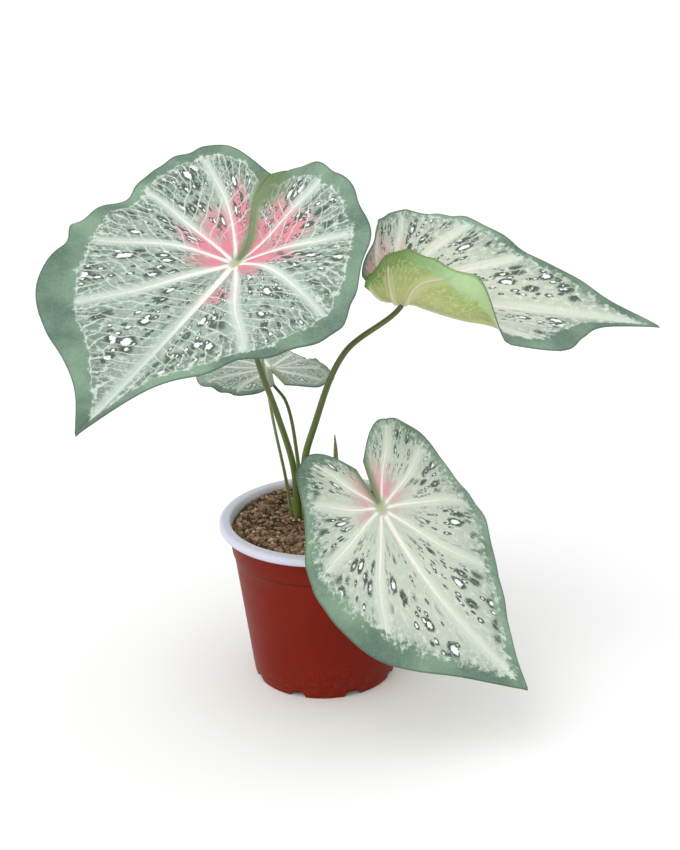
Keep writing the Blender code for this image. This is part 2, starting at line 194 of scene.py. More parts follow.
# %% [markdown]
# ## Sheets and tubes from a grid
# A leaf, a stalk and a rolled young leaf are all one bent sheet. So each one
# starts as a flat grid, and every point of the grid moves to its place. A tube
# is a grid whose two sides meet, and an end or a centre is a row drawn in to
# one point: merging the points that coincide closes them. Numbers that a
# material needs, such as how far a point is from a vein, are stored on the
# points.

# %% Grid helper
def smooth_share(x):
    """0 to 1 with soft ends."""
    x = np.clip(x, 0, 1)
    return x * x * (3 - 2 * x)


def through_points(knots, values, at):
    """A smooth curve through a few values, read at the given places."""
    knots, values, at = (np.asarray(item, float) for item in (knots, values, at))
    steps = np.diff(knots)
    chords = np.diff(values, axis=0) / steps.reshape((-1,) + (1,) * (values.ndim - 1))
    slopes = np.concatenate([chords[:1], (chords[1:] + chords[:-1]) / 2, chords[-1:]])
    index = np.clip(np.searchsorted(knots, at, side="right") - 1, 0, len(steps) - 1)
    step = steps[index]
    t = (at - knots[index]) / step
    if values.ndim > 1:
        t, step = t[..., None], step[..., None]
    start = (1 + 2 * t) * (1 - t) ** 2 * values[index] + t * (1 - t) ** 2 * step * slopes[index]
    end = t * t * (3 - 2 * t) * values[index + 1] + t * t * (t - 1) * step * slopes[index + 1]
    return start + end


def bend_grid(name, places, stored, rib=None):
    """An object from a grid whose point [row, column] goes to places[row, column].
    stored holds named values for the points, and rib the weights of their thickness."""
    rows, columns = places.shape[:2]
    sheet = bmesh.new()
    bmesh.ops.create_grid(sheet, x_segments=columns - 1, y_segments=rows - 1, size=1)
    layers = {key: sheet.verts.layers.float.new(key) for key in stored}
    weights = sheet.verts.layers.deform.verify() if rib is not None else None
    for vert in sheet.verts:
        column = round((vert.co.x + 1) / 2 * (columns - 1))
        row = round((vert.co.y + 1) / 2 * (rows - 1))
        for key, layer in layers.items():
            vert[layer] = float(stored[key][row, column])
        if weights is not None:
            vert[weights][0] = float(rib[row, column])
        vert.co = places[row, column]
    bmesh.ops.remove_doubles(sheet, verts=sheet.verts[:], dist=2e-6)
    bmesh.ops.dissolve_degenerate(sheet, edges=sheet.edges[:], dist=1e-7)
    made = to_object(name, sheet)
    made.data.shade_smooth()
    return made


def hand_over(piece, node, slot, *materials):
    """Dress a finished piece and let it stand for a solid of the frame."""
    for item in materials:
        piece.data.materials.append(item)
    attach(piece, "root")
    if node:
        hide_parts(node)


# %% [markdown]
# ## The shape of a leaf blade
# The outline of each leaf is its distance from the knot, where the stalk
# joins, at a row of angles from the tip. Each half slopes up from the midrib
# and curls over, and the midrib itself arches. The right leaf is rolled: its
# near half turns up and over, so that its underside shows. The numbers are the
# ones that the solids were made with, so the fine sheet lies in the solid one.

# %% Leaf numbers
OUTLINE_ANGLES = (0, 6, 15, 28, 44, 62, 82, 104, 126, 146, 164, 180)
KNOT_RADIUS = 0.006
CREASE_AT_KNOT = 0.003
CREASE_AT_FRONT = 0.018
ROLL_FRONT = 0.038
ROLL_EASE = 0.022
ROLL_WIDTH = 0.017
RIB_DEPTH = 0.0014

LEAVES = {
    "left": {
        "knot": (-0.042, -0.023, 0.2585), "yaw": 150, "dip": 19.5, "roll": 3.5,
        "outline_left": (152, 125, 112, 103, 102, 94, 83, 76, 79, 82, 77, 66),
        "outline_right": (152, 134, 121, 114, 107, 92, 87, 74, 81, 81, 80, 66),
        "fold": (17, 26.5), "curl": (8.8, 0.3), "arch": (-0.3, -7.3),
        "sweep": (0, -0.28), "notch": 0.05, "bow": 0.0065,
        "wave": (0.0022, 7, 0.6), "roll_up": 0, "ruffle": 0.0011, "scallop": 0.014,
    },
    "right": {
        "knot": (0.0485, 0.0, 0.2305), "yaw": -96, "dip": 3.5, "roll": 25,
        "outline_left": (144, 114, 98, 80, 71, 66, 64, 60, 57, 50, 38, 27),
        "outline_right": (144, 113, 104, 98, 70, 58, 44, 37, 31, 27, 25, 22),
        "fold": (20, 18), "curl": (4.0, 0.0), "arch": (0.8, -40.0),
        "sweep": (0, 0), "notch": 3, "bow": 0,
        "wave": (0.0024, 7, 2.0), "roll_up": 105, "ruffle": 0.0006, "scallop": 0.007,
    },
    "front": {
        "knot": (0.034, -0.0625, 0.130), "yaw": -122, "dip": 58, "roll": 9,
        "outline_left": (126, 109, 96, 85, 75, 71, 64, 56, 55, 54, 44, 28),
        "outline_right": (126, 114, 101, 91, 83, 74, 63, 52, 52, 55, 46, 26),
        "fold": (11, -2), "curl": (4.6, 4.3), "arch": (-3.5, -0.5),
        "sweep": (-0.05, 0), "notch": 9, "bow": 0,
        "wave": (0.0018, 6, 1.2), "roll_up": 0, "ruffle": 0.0004, "scallop": 0.004,
    },
    "back": {
        "knot": (-0.029, 0.054, 0.172), "yaw": 12, "dip": 3, "roll": 0,
        "outline_left": (86, 72, 62, 55, 50, 47, 45, 46, 48, 48, 43, 30),
        "outline_right": (86, 68, 54, 43, 35, 30, 29, 33, 41, 46, 45, 32),
        "fold": (6, 6), "curl": (6, 6), "arch": (4, 3),
        "sweep": (0, 0), "notch": 6, "bow": 0,
        "wave": (0.0015, 5, 0.0), "roll_up": 0, "ruffle": 0.0006, "scallop": 0.006,
    },
}

# %% Blade surface
def each_side(angle, curve):
    """What a curve gives for the left half of a leaf, and for its right half."""
    return np.where(angle > 0, curve("right"), curve("left"))


def outline_radius(leaf, angle):
    """Distance from knot to margin at signed angles, in degrees, from the tip."""
    return each_side(angle, lambda side: 1 / through_points(
        OUTLINE_ANGLES, 1000 / np.array(leaf["outline_" + side], float), np.abs(angle)))


def leaf_turn(leaf):
    """The rotation of a leaf: yaw, then dip of the tip, then roll."""
    yaw = Matrix.Rotation(radians(leaf["yaw"]), 3, "Z")
    dip = Matrix.Rotation(radians(-leaf["dip"]), 3, "X")
    return np.array(yaw @ dip @ Matrix.Rotation(radians(leaf["roll"]), 3, "Y"))


def bend(length, rate):
    """Forward and upward travel along an arc that turns down at this rate."""
    rate = rate if abs(rate) > 1e-6 else 1e-6
    return np.sin(rate * length) / rate, (np.cos(rate * length) - 1) / rate


def roll_share(across, along):
    """How far the right half is rolled: 1 behind the roll's front end, 0 past it."""
    return (1 - smooth_share((along - ROLL_FRONT) / ROLL_EASE)) * (across > 0)


def cross_section(leaf, across, along):
    """Sideways and upward travel over one half of a blade, from the midrib."""
    samples = 24
    on_right = across > 0
    slope = np.radians(np.where(on_right, leaf["fold"][1], leaf["fold"][0]))
    curl = np.where(on_right, leaf["curl"][1], leaf["curl"][0])
    forward = smooth_share(along / ROLL_FRONT)
    crease = CREASE_AT_KNOT + (CREASE_AT_FRONT - CREASE_AT_KNOT) * forward
    rolled = radians(leaf["roll_up"]) * roll_share(across, along)
    step = np.abs(across) / samples
    sideways, upward = np.zeros_like(across), np.zeros_like(across)
    for sample in range(samples):
        place = (sample + 0.5) * step
        angle = slope - curl * place + rolled * smooth_share((place - crease) / ROLL_WIDTH)
        sideways += np.cos(angle) * step
        upward += np.sin(angle) * step
    return np.where(on_right, sideways, -sideways), upward


def blade_surface(leaf, angle, share):
    """Places of a blade's upper face and their reach from the knot, in metres.
    The share is -1 at the knot, 0 where the notch starts and 1 at the margin."""
    turn = angle / 180
    outward = np.clip(share, 0, 1)
    radius = outline_radius(leaf, angle)
    lobes = np.sin(13 * pi * turn + 3 * np.cos(3 * pi * turn))
    radius = radius * (1 + leaf["scallop"] * outward ** 6 * lobes)
    reach = np.where(share < 0, KNOT_RADIUS * (1 + share),
                     KNOT_RADIUS + (radius - KNOT_RADIUS) * outward)
    notch = np.radians(leaf["notch"]) * (reach - KNOT_RADIUS).clip(0) / reach.clip(KNOT_RADIUS)
    across = reach * np.sin(turn * (pi - notch))
    along = reach * np.cos(turn * (pi - notch))
    length = leaf["outline_left"][0] / 1000
    across = across + np.where(along > 0, *leaf["sweep"]) * along * np.abs(along) / length
    across = across + leaf["bow"] * 6.75 * outward ** 2 * (1 - outward) * np.abs(turn) ** 6
    sideways, upward = cross_section(leaf, across, along)
    wave_height, wave_count, wave_phase = leaf["wave"]
    wave = wave_height * np.sin(wave_count * pi * turn + wave_phase)
    ruffle = leaf["ruffle"] * np.sin(17 * pi * turn + 2 * np.sin(5 * pi * turn))
    ripple = outward ** 3 * wave + outward ** 7 * ruffle
    upward = upward + ripple * np.abs(np.sin(turn * (pi - notch))) ** 0.5
    ahead, ahead_rise = bend(np.abs(along), leaf["arch"][0])
    behind, behind_rise = bend(np.abs(along), leaf["arch"][1])
    rate = np.where(along > 0, *leaf["arch"])
    lean = rate * along * (1 - bool(leaf["roll_up"]) * roll_share(across, along))
    forward = np.where(along > 0, ahead, -behind) + upward * np.sin(lean)
    rise = np.where(along > 0, ahead_rise, behind_rise) + upward * np.cos(lean)
    local = np.stack([sideways, forward, rise], -1)
    return local @ leaf_turn(leaf).T + np.array(leaf["knot"]), reach


# %% [markdown]
# ## Veins
# Caladium veins fan out from the knot. Between them finer veins leave at a
# slant, and all of them run into one vein that follows the margin a few
# millimetres inside it. The grid's columns follow the main veins, so a vein is
# one straight line on the grid and can be pressed into the mesh as a groove
# with the tissue puffed up between. For the material, each point stores where
# it lies between two veins, and how far it is from the margin vein.

# %% Vein layout
VEINS = {   # angle from the tip near the knot and at the margin, in degrees
    "left": {"left": ((35, 34), (80, 64), (112, 118), (152, 150)),
             "right": ((36, 34), (82, 66), (112, 108), (152, 150))},
    "right": {"left": ((34, 30), (74, 60), (108, 104), (146, 142)),
              "right": ((34, 28), (76, 60), (110, 106), (148, 146))},
    "front": {"left": ((36, 34), (78, 70), (112, 116), (150, 148)),
              "right": ((40, 38), (84, 78), (118, 122), (152, 152))},
    "back": {"left": ((36, 32), (80, 66), (114, 112), (150, 148)),
             "right": ((36, 32), (80, 66), (114, 112), (150, 148))},
}
MARGIN_VEIN_ANGLES = (0, 20, 36, 54, 76, 100, 130, 160, 180)
MARGIN_VEIN = {   # its share of the way from knot to margin at those angles
    "left": {"left": (0.91, 0.93, 0.93, 0.89, 0.86, 0.87, 0.87, 0.88, 0.84),
             "right": (0.91, 0.85, 0.81, 0.81, 0.86, 0.91, 0.91, 0.90, 0.86)},
    "right": {"left": (0.93, 0.92, 0.93, 0.94, 0.94, 0.94, 0.93, 0.92, 0.90),
              "right": (0.93, 0.84, 0.76, 0.76, 0.80, 0.82, 0.82, 0.80, 0.80)},
    "front": {"left": (0.93, 0.92, 0.91, 0.90, 0.90, 0.90, 0.92, 0.92, 0.90),
              "right": (0.93, 0.88, 0.83, 0.80, 0.84, 0.88, 0.88, 0.86, 0.84)},
    "back": {"left": (0.90, 0.88, 0.86, 0.84, 0.84, 0.86, 0.88, 0.88, 0.86),
             "right": (0.90, 0.88, 0.86, 0.84, 0.84, 0.86, 0.88, 0.88, 0.86)},
}
BAND_SOFTNESS = {"left": 0.22, "right": 0.6, "front": 1.0, "back": 0.25}
PALENESS = {"left": 0.10, "right": 1.0, "front": 0.6, "back": 0.0}
VEIN_WIDTH = {"left": 1.0, "right": 0.8, "front": 0.75, "back": 0.7}
VEIN_SWAY = 2.2
PATTERN_SCALE = {"left": 1.0, "right": 1.0, "front": 1.0, "back": 1.7}   # finer if above 1
COLUMN_PLACES = (0, 0.012, 0.03, 0.055, 0.085, 0.12, 0.16, 0.2, 0.245, 0.29, 0.34, 0.39, 0.44,
                 0.5)
KNOT_ROWS = 4
BLADE_ROWS = {"left": 78, "right": 78, "front": 78, "back": 54}
VEIN_STEPS = 5


def vein_grid(name):
    """Angle in degrees, width between veins in degrees, place across the veins and
    share for each grid point. At a whole place is a vein, and the tip's is 0."""
    half = np.array(COLUMN_PLACES)
    step = np.concatenate([half, 1 - half[-2:0:-1]])
    places = np.concatenate([k + step for k in range(-VEIN_STEPS, VEIN_STEPS)] + [[VEIN_STEPS]])
    from_notch = np.linspace(0, 1, BLADE_ROWS[name])
    shares = np.concatenate([np.arange(KNOT_ROWS) / KNOT_ROWS - 1, from_notch])
    angle = np.zeros((len(shares), len(places)))
    wide = np.zeros_like(angle)
    for row, share in enumerate(shares):
        turn = smooth_share(share)
        for sign, side in ((-1, "left"), (1, "right")):
            sway = VEIN_SWAY * sin(pi * max(share, 0))
            knots = [0] + [a + (b - a) * turn + sway * sin(5 * share + 2.3 * b)
                           for a, b in VEINS[name][side]] + [180]
            chosen = places * sign >= 0
            here = np.abs(places[chosen])
            angle[row, chosen] = sign * np.interp(here, range(VEIN_STEPS + 1), knots)
            interval = np.clip(here.astype(int), 0, VEIN_STEPS - 1)
            wide[row, chosen] = np.diff(knots)[interval]
    place, share = np.meshgrid(places, shares)
    return angle, wide, place, share


# %% [markdown]
# ## The pink blush
# Pink shows between the veins close to the knot, and reaches furthest into the
# two rear lobes. Each leaf has its own strength. It is stored as a soft value,
# and the material breaks its edge up.

# %% Blush layout
BLUSH_ANGLES = (0, 18, 35, 55, 80, 98, 112, 134, 152, 166, 180)
BLUSH_REACH = {   # millimetres from the knot
    "left": (14, 16, 18, 36, 30, 54, 38, 62, 56, 66, 40),
    "right": (12, 14, 18, 34, 34, 50, 38, 50, 46, 66, 46),
}
BLUSH_STRENGTH = {"left": 1.0, "right": 0.5, "front": 0.7, "back": 0.0}
BLUSH_SCALE = {"left": 1.0, "right": 0.9, "front": 0.55, "back": 0.5}
BLUSH_FADE = 22            # millimetres
PINK_SPOT = (-17, 34, 7)   # angle, reach and size in mm of one pink spot on the left leaf


def blush(name, angle, reach_mm):
    """How pink the tissue is, from 0 to 1. It fades out at its reach and at the knot."""
    furthest = BLUSH_SCALE[name] * each_side(
        angle, lambda side: np.interp(np.abs(angle), BLUSH_ANGLES, BLUSH_REACH[side]))
    fade = smooth_share((furthest - reach_mm) / BLUSH_FADE) * smooth_share((reach_mm - 4) / 6)
    if name == "left":
        spot_angle, spot_reach, spot_size = PINK_SPOT
        aside = np.radians(angle - spot_angle) * reach_mm
        spot = np.exp(-(aside ** 2 + (reach_mm - spot_reach) ** 2) / spot_size ** 2)
        fade = np.maximum(fade, 1.5 * spot)
    return (BLUSH_STRENGTH[name] * fade).clip(0, 1)


# %% [markdown]
# ## Building the blades
# The veins are sunk about a third of a millimetre and the tissue between them
# rises half a millimetre. A Solidify modifier gives the sheet its underside,
# with the ribs standing out there, thickest at the knot.

# %% Make the blades
GROOVE_DEPTH = 0.00035
PUFF_HEIGHT = 0.0006
PUFFED_FULLY = 30       # millimetres between two veins
BLADE_THICKNESS = 0.0006
RIB_THICKNESS = 0.0019
MIDRIB_WIDTH = 1.6      # against the other main veins
NOTCH_RIB_WIDTH = 0.3


def make_blade(name):
    """One leaf blade as a fine sheet, with the values that its material reads."""
    leaf = LEAVES[name]
    angle, wide, place, share = vein_grid(name)
    places, reach = blade_surface(leaf, angle, share)
    reach_mm = 1000 * reach
    outward = np.clip(share, 0, 1)
    interval_mm = (np.radians(wide) * reach_mm).clip(0.5)
    from_vein = np.abs(place - np.round(place))
    vein_gap = from_vein * interval_mm
    inside = each_side(angle, lambda side: through_points(
        MARGIN_VEIN_ANGLES, MARGIN_VEIN[name][side], np.abs(angle)))
    radius_mm = 1000 * outline_radius(leaf, angle)
    span_mm = radius_mm - 1000 * KNOT_RADIUS
    band_mm = (share - inside) * span_mm
    rank = np.round(np.abs(place))
    main = np.where(rank == 0, MIDRIB_WIDTH, np.where(rank == VEIN_STEPS, NOTCH_RIB_WIDTH, 1.0))
    size = radius_mm / 100
    vein_half = main * VEIN_WIDTH[name] * (1.4 - 1.08 * outward ** 0.5) * size ** 0.3
    vein_half = np.where(band_mm > 0, vein_half * 0.45, vein_half)
    groove = np.exp(-(vein_gap / (1.1 * vein_half + 0.3)) ** 2) * main
    puff = np.sin(pi * from_vein) * smooth_share(interval_mm / PUFFED_FULLY)
    relief = PUFF_HEIGHT * puff * (1 - smooth_share(band_mm / 6)) - GROOVE_DEPTH * groove
    relief = relief * smooth_share(outward / 0.12)
    sideways = np.gradient(places, axis=1)
    outwards = np.gradient(places, axis=0)
    normal = np.cross(sideways, outwards)
    normal /= np.linalg.norm(normal, axis=-1, keepdims=True).clip(1e-12)
    places = places + normal * relief[..., None]
    edge_turn = (1 - np.abs(angle) / 180) * pi
    sinus_mm = reach_mm * np.sin(edge_turn.clip(0, pi / 2))
    # On the left leaf the dark notch line, partly painted shade under the overlapping lobe, widens
    # further out
    if name == "left":
        sinus_mm = sinus_mm / (1 + 2.6 * smooth_share((reach_mm - 40) / 20) * (angle < 0))
    scale = PATTERN_SCALE[name]
    stored = {
        "vein_place": place, "interval_mm": interval_mm * scale,
        "vein_half_mm": vein_half * scale,
        "soft": np.full_like(share, BAND_SOFTNESS[name]),
        "pale": PALENESS[name] * (1 - smooth_share((outward - 0.35) / 0.75)) ** 0.5,
        "band_mm": band_mm, "edge_mm": (1 - outward) * span_mm, "reach_mm": reach_mm * scale,
        "blush": blush(name, angle, reach_mm), "sinus_mm": sinus_mm,
    }
    rib = groove * (1 - outward) ** 0.5 * 0.75 + 0.6 * (1 - smooth_share(reach_mm / 14))
    blade = bend_grid("blade_%s_sheet" % name, places, stored, rib.clip(0, 1))
    blade.vertex_groups.new(name="rib")
    wall = blade.modifiers.new("underside", "SOLIDIFY")
    wall.thickness = RIB_THICKNESS
    wall.offset = -1
    wall.vertex_group = "rib"
    wall.thickness_vertex_group = BLADE_THICKNESS / RIB_THICKNESS
    wall.material_offset = 1
    print("blade %-5s %d faces, veins %.0f mm apart at mid leaf"
          % (name, len(blade.data.polygons), interval_mm[BLADE_ROWS[name] // 2].mean()))
    return blade


blades = {name: make_blade(name) for name in LEAVES}

# %% [markdown]
# ## Leaf skin
# A caladium leaf is a thin green sheet with a faint waxy shine. This one is
# variegated: most of it between the veins has little green, so it looks
# silvery, with small islands of full green round white glassy flecks. The
# shares of the colours are worked out first, and then laid over each other in
# one loop: tissue, mottling, blush, islands, fine veins, flecks, margin band,
# main veins, notch, knot, edge. The underside is the same without blush and
# flecks. Every line is computed from the stored distances, so it stays sharp.

# %% Leaf skin
STORED = ("vein_place", "interval_mm", "vein_half_mm", "band_mm", "edge_mm", "reach_mm",
          "blush", "sinus_mm", "soft", "pale")
SIDE_VEIN_GAP = 7.0     # millimetres
SIDE_VEIN_SLANT = 0.75
FAN_VEINS = 9.0         # fine veins between two main veins
FLECKS = ((6.5, 11.0, 0.43, 0.0), (15.0, 5.5, 0.50, 7.3))   # across, mm long, rarity, offset


def leaf_material(name, under, tissue, pale, dark, deep, band, vein_near, vein_far):
    """The leaf's skin. The upper face has flecks and blush, the underside neither."""
    made, add, here = start_material(name, 0.42, 1.45)
    place, interval, half, band_mm, edge_mm, reach, blushed, sinus, soft, paleness = [
        add("Attribute", attribute_name=key, output="Fac") for key in STORED]

    # Slow wobble, 12 mm across, mottling drawn out along the veins, fine grain
    wobble = add("TexNoise", here, 85.0, 3.0)
    shift = add("Math SUBTRACT", wobble, 0.5)
    drawn_out = add("CombineXYZ", add(TIMES, place, 15.0), add("Math DIVIDE", reach, 4.5))
    mottle = add("TexNoise", drawn_out, 1.0, 5.0, 0.7)
    fine = add("TexNoise", here, 900.0, 2.0)

    # Main veins, from the distance to the nearest one in millimetres
    between = add("Math PINGPONG", place, 0.5)
    gap = add(TIMES, between, interval)
    ratio = add("Math DIVIDE", gap, half)
    ratio = add(TIMES_PLUS, mottle, 1.6, ratio)
    main = add(SMOOTH, ratio, 2.25, 1.3)
    halo = add(TIMES, add(SMOOTH, gap, 5.2, 0.8), add(SMOOTH, between, 0.30, 0.12))

    # Side veins that leave the vein nearer the tip at a slant
    aside = add(TIMES, add("Math FRACT", add("Math ABSOLUTE", place)), interval)
    side_at = add(TIMES_PLUS, aside, -SIDE_VEIN_SLANT, reach)
    side_at = add("Math DIVIDE", side_at, SIDE_VEIN_GAP)
    side_at = add(TIMES_PLUS, shift, 1.2, side_at)
    side = add(SMOOTH, add("Math PINGPONG", side_at, 0.5), 0.10, 0.02)
    grown = add(SMOOTH, reach, 12.0, 34.0)
    side = add(TIMES, side, grown)

    # Fine veins that run out to the margin vein
    fan_at = add(TIMES_PLUS, shift, 0.24, place)
    fan_at = add(TIMES, fan_at, FAN_VEINS)
    fan = add(SMOOTH, add("Math PINGPONG", fan_at, 0.5), 0.13, 0.03)
    outer = add(SMOOTH, band_mm, -22.0, -7.0)
    fan = add(TIMES, fan, outer)

    # The net of finest veins, with meshes of about 3 mm
    net = add(SMOOTH, add("TexVoronoi DISTANCE_TO_EDGE", here, 330.0), 0.08, 0.01)

    # The margin vein and the plain band outside it, ragged where the leaf is soft
    band_shift = add(TIMES_PLUS, shift, 9.0, band_mm)
    uneven = add("Math SUBTRACT", mottle, 0.5)
    fray = add(TIMES_PLUS, soft, 26.0, 8.0)
    ragged = add(TIMES_PLUS, uneven, fray, band_shift)
    inner_end = add(TIMES_PLUS, soft, -4.0, -0.6)
    in_band = add(SMOOTH, ragged, inner_end, 1.8)
    margin_vein = add(SMOOTH, add("Math ABSOLUTE", band_shift), 0.75, 0.15)
    firm = add(TIMES_PLUS, soft, -0.8, 1.0)
    firm = add(TIMES, firm, add(SMOOTH, mottle, 0.62, 0.45))
    margin_vein = add(TIMES, margin_vein, firm)

    # Tissue: silvery near the veins, greener and mottled between them
    away = add("Math SUBTRACT", 1.0, halo)
    green = add(SMOOTH, mottle, 0.36, 0.51)
    green = add(TIMES, green, add("MapRange", outer, 0.0, 1.0, 0.7, 1.0))
    green = add(TIMES, green, away)
    calm = add(TIMES_PLUS, soft, -0.55, 1.1)
    calm = add(TIMES_PLUS, paleness, -0.35, calm)
    green = add(TIMES, green, calm, use_clamp=True)
    speck = add(SMOOTH, fine, 0.55, 0.75, 0.0, 0.3)
    net_seen = add(TIMES, net, 0.22)
    layers = [(green, dark), (speck, vein_far), (net_seen, vein_far)]
    bumps = [(main, -0.3), (side, -0.5), (fan, -0.35), (margin_vein, -0.5), (net, -0.15),
             (mottle, 0.25)]

    if not under:
        # Pink between the veins near the knot
        layers.append((add(TIMES, add(SMOOTH, wobble, 0.27, 0.46), blushed), "#D98694"))

        # Islands of green with white flecks, in two sizes, longer along the veins
        # than across. Each is one cell of a pattern in the veins' own coordinates.
        room = add(TIMES, add(SMOOTH, between, 0.10, 0.22), add(SMOOTH, band_mm, -1.0, -4.0))
        room = add(TIMES, room, grown)
        core = None
        for across, long_mm, rarity, offset in FLECKS:
            fleck_x = add(TIMES_PLUS, place, across, offset)
            fleck_y = add("Math DIVIDE", reach, long_mm)
            fleck_map = add("CombineXYZ", fleck_x, fleck_y)
            cell = add("TexVoronoi", fleck_map, 1.0, Randomness=0.9).node.outputs
            chance = add("SeparateColor", cell["Color"])
            chance = add(TIMES_PLUS, soft, -0.14, chance)
            chosen = add("MapRange", chance, rarity, rarity + 0.02)
            swell = add("MapRange", chance, rarity, 1.0, 0.12, -0.03)
            blob = add(TIMES_PLUS, fine, 0.30, cell["Distance"])
            blob = add("Math ADD", blob, swell)
            window = add(TIMES, chosen, room)
            white = add(TIMES, add(SMOOTH, blob, 0.47, 0.41), window)
            layers.append((add(TIMES, add(SMOOTH, blob, 0.78, 0.56), window), deep))
            core = add("Math MAXIMUM", core, white) if core else white
        bumps.append((core, 0.5))

    # Fine veins over the tissue, fainter on the leaf whose band is soft
    line_share = add(TIMES_PLUS, soft, -0.75, 1.0)
    side_share = add(TIMES_PLUS, outer, -0.5, line_share)
    layers.append((add(TIMES, fan, line_share), vein_far))
    layers.append((add(TIMES, side, side_share, use_clamp=True), vein_far))
    if not under:
        layers.append((core, "#F6FAF7"))

    # Margin band, a little lighter and darker in places, with a faint net
    slow = add("MapRange", add("TexNoise", here, 32.0, 4.0), 0.38, 0.62)
    band_tone = add(MIX, slow, *band)
    if under:
        rear = add(SMOOTH, add("Math ABSOLUTE", place), 1.9, 2.9, 0.0, 0.85)
        band_tone = add(MIX, rear, band_tone, dark)
    band_tone = add(MIX, add(TIMES, net, 0.07), band_tone, vein_far)
    layers += [(in_band, band_tone), (margin_vein, vein_far)]

    # Main veins, whiter near the knot, where they also glow into the tissue
    near = add(SMOOTH, reach, 95.0, 20.0)
    vein_tone = add(MIX, near, vein_far, vein_near)
    glow = add(TIMES, halo, near)
    glow = add(TIMES, glow, add(TIMES_PLUS, soft, -0.12, 0.2))
    in_field = add(SMOOTH, band_mm, 2.0, -1.0, 0.08)
    layers += [(glow, vein_tone), (add(TIMES, main, in_field), vein_tone)]

    # Green along the notch, its dark line partly painted shade of the fold where the lobes meet;
    # cream-green knot, darker thin edge
    notch = add(SMOOTH, sinus, 5.5, 0.6, 0.0, 0.95)
    knot = add(SMOOTH, reach, 5.0, 1.5, 0.0, 0.6)
    edge = add(TIMES, add(SMOOTH, edge_mm, 2.6 if under else 1.3, 0.3), 0.6)
    layers += [(notch, "#6A7E52"), (knot, "#CDD0A4"), (edge, deep)]

    colour = add(MIX, paleness, tissue, pale)
    for share, tone in layers:
        colour = add(MIX, share, colour, tone)

    # Relief and sheen: veins sink in above and stand out below, the skin is satin
    height = 0.5
    for source, weight in bumps:
        height = add(TIMES_PLUS, source, -weight if under else weight, height)
    relief = add("Bump", Strength=0.6, Distance=0.0004, Height=height)
    return finish_material(made, colour, add("MapRange", mottle, 0.0, 1.0, 0.34, 0.52), relief)


leaf_upper = leaf_material(
    "variegated leaf upper skin", under=False, tissue="#BFCDC0", pale="#DFE2CE", dark="#697F6B",
    deep="#425446", band=("#56715E", "#7A987E"), vein_near="#F3EFE6", vein_far="#CFDACE")
leaf_under = leaf_material(
    "leaf underside skin", under=True, tissue="#96B448", pale="#C4C389", dark="#64812C",
    deep="#5C7A24", band=("#9DBD8C", "#AFCC98"), vein_near="#CFC8A8", vein_far="#AEC48C")
for name, blade in blades.items():
    hand_over(blade, "blade_" + name, "blade", leaf_upper, leaf_under)

# %% [markdown]
# ## Stalks
# Each stalk rises from the tuber, thins a little on its way, and meets the
# leaf's underside at the knot with a small swelling. A tube is a grid bent
# round a path. The path runs smoothly through a few points, which are the ones
# that the solid stalks follow.

# %% Stalk paths
SOIL_LEVEL = 0.0922
STALKS = {
    "left": {"foot": (-0.0140, 0.0080), "radius": (0.0021, 0.0014), "neck": 0.006,
             "route": ((-0.0152, 0.006, 0.126), (-0.0237, 0.001, 0.163), (-0.033, -0.006, 0.197))},
    "right": {"foot": (-0.0090, 0.0065), "radius": (0.0023, 0.0015), "neck": 0.003,
              "route": ((-0.0084, 0.002, 0.134), (-0.0033, -0.001, 0.153),
                        (0.0161, -0.003, 0.2005))},
    "front": {"foot": (-0.0050, -0.0020), "radius": (0.0020, 0.0014), "neck": 0.006,
              "route": ((0.000, -0.014, 0.112), (0.012, -0.032, 0.133), (0.025, -0.050, 0.137))},
    "back": {"foot": (-0.0125, 0.0165), "radius": (0.0013, 0.0009), "neck": 0.005,
             "route": ((-0.012, 0.018, 0.101), (-0.0138, 0.027, 0.1275), (-0.0198, 0.042, 0.155))},
}
STALK_SIDES = 20
STALK_STEP = 0.002
KNOT_SWELLING = (0.55, 0.0022)           # share of the radius, reach
SHEATH_SWELLING = (0.16, 0.006, 0.012)   # share of the radius, place, reach


def tube(name, path, radii, lobes=None):
    """A tube round a path, closed at both ends. lobes may change the radius
    with the turn and the share of the length."""
    path = np.asarray(path, float)
    ahead = np.gradient(path, axis=0)
    ahead /= np.linalg.norm(ahead, axis=1, keepdims=True)
    turns = np.linspace(0, 2 * pi, STALK_SIDES + 1)
    shares = np.linspace(0, 1, len(path))
    places = np.zeros((len(path) + 2, len(turns), 3))
    side = np.array((1.0, 0.0, 0.0))
    for row, (point, direction) in enumerate(zip(path, ahead)):
        side = side - direction * side.dot(direction)
        side /= np.linalg.norm(side)
        other = np.cross(direction, side)
        wide = radii[row] * (lobes(turns, shares[row]) if lobes else np.ones_like(turns))
        ring = np.outer(wide * np.cos(turns), side) + np.outer(wide * np.sin(turns), other)
        places[row + 1] = point + ring
    first, last = places[:, 0], places[:, -1]
    places[:, -1] = np.where(np.isclose(last, first, atol=1e-6), first, last)
    places[0], places[-1] = path[0], path[-1]
    around = np.repeat(turns[None, :], len(places), 0) / (2 * pi)
    return bend_grid(name, places, {"height_mm": 1000 * places[..., 2], "around": around})


def smooth_path(foot, points):
    """The places of a stalk from 14 mm under the soil up through its points."""
    collar = (foot[0], foot[1], SOIL_LEVEL + 0.003)
    points = [collar, *points]
    gaps = [(Vector(b) - Vector(a)).length for a, b in zip(points, points[1:])]
    lengths = np.cumsum([0] + gaps)
    at = np.linspace(0, lengths[-1], int(lengths[-1] / STALK_STEP))
    below = [(foot[0], foot[1], SOIL_LEVEL - depth) for depth in (0.014, 0.008, 0.003)]
    return np.concatenate([below, through_points(lengths, points, at)]), at, lengths


